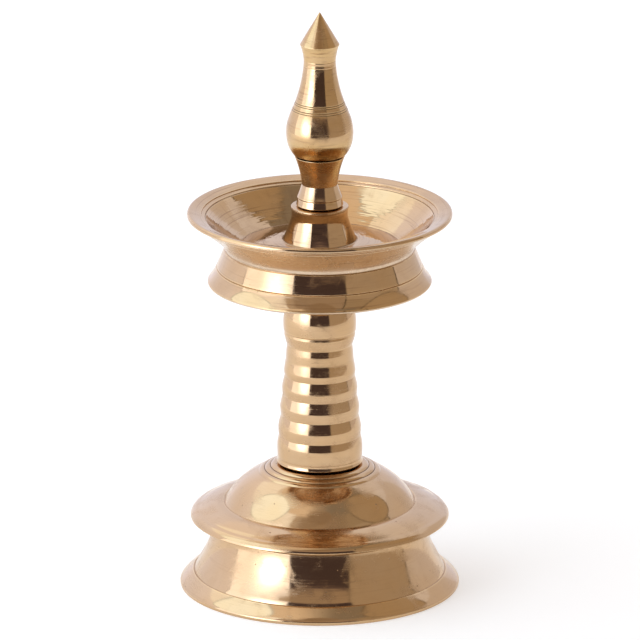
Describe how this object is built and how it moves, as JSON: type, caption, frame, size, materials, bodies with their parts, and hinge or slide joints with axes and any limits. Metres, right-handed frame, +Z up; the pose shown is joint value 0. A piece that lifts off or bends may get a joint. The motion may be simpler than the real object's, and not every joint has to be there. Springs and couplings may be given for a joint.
{
  "type": "samai oil lamp",
  "caption": "Turned brass oil lamp with a hollow bell foot, a ribbed stem, a shallow oil dish and a pointed finial, held together by hidden threaded studs.",
  "frame": {"origin": "centre of the face that the foot stands on", "axes": "+Z up along the lamp's turning axis; X and Y are alike, because every piece is turned"},
  "size_m": [0.0958, 0.0958, 0.2033],
  "materials": {
    "polished_brass": "turned and polished, with fine lathe lines and a little tarnish in the grooves",
    "handled_brass": "turned, duller and browner from handling and lamp oil",
    "threaded_brass": "cut thread, unpolished"
  },
  "bodies": {
    "base": {"base": "polished_brass"},
    "base_stud": {"base_stud": "threaded_brass"},
    "stem": {"stem": "polished_brass"},
    "bowl_stud": {"bowl_stud": "threaded_brass"},
    "oil_bowl": {"oil_bowl": "polished_brass"},
    "neck_stud": {"neck_stud": "threaded_brass"},
    "finial_neck": {"finial_neck": "handled_brass"},
    "bud_stud": {"bud_stud": "threaded_brass"},
    "finial_bud": {"finial_bud": "polished_brass"}
  },
  "joints": [
    {"name": "stem_turn", "type": "hinge", "parent": "base", "child": "base_stud", "pos_m": [0, 0, 0.0434], "axis": [0, 0, 1], "range_deg": [0, 1440]},
    {"name": "stem_lift", "type": "slide", "parent": "base_stud", "child": "stem", "axis": [0, 0, 1], "range_m": [0, 0.008]},
    {"name": "bowl_turn", "type": "hinge", "parent": "stem", "child": "bowl_stud", "pos_m": [0, 0, 0.1173], "axis": [0, 0, 1], "range_deg": [0, 1440]},
    {"name": "bowl_lift", "type": "slide", "parent": "bowl_stud", "child": "oil_bowl", "axis": [0, 0, 1], "range_m": [0, 0.008]},
    {"name": "neck_turn", "type": "hinge", "parent": "oil_bowl", "child": "neck_stud", "pos_m": [0, 0, 0.1351], "axis": [0, 0, 1], "range_deg": [0, 1440]},
    {"name": "neck_lift", "type": "slide", "parent": "neck_stud", "child": "finial_neck", "axis": [0, 0, 1], "range_m": [0, 0.006]},
    {"name": "bud_turn", "type": "hinge", "parent": "finial_neck", "child": "bud_stud", "pos_m": [0, 0, 0.1528], "axis": [0, 0, 1], "range_deg": [0, 1440]},
    {"name": "bud_lift", "type": "slide", "parent": "bud_stud", "child": "finial_bud", "axis": [0, 0, 1], "range_m": [0, 0.006]}
  ],
  "couplings": [
    {"joint": "stem_turn", "follows": "stem_lift", "rad_per_m": 3141.6},
    {"joint": "bowl_turn", "follows": "bowl_lift", "rad_per_m": 3141.6},
    {"joint": "neck_turn", "follows": "neck_lift", "rad_per_m": 4188.8},
    {"joint": "bud_turn", "follows": "bud_lift", "rad_per_m": 4188.8}
  ]
}
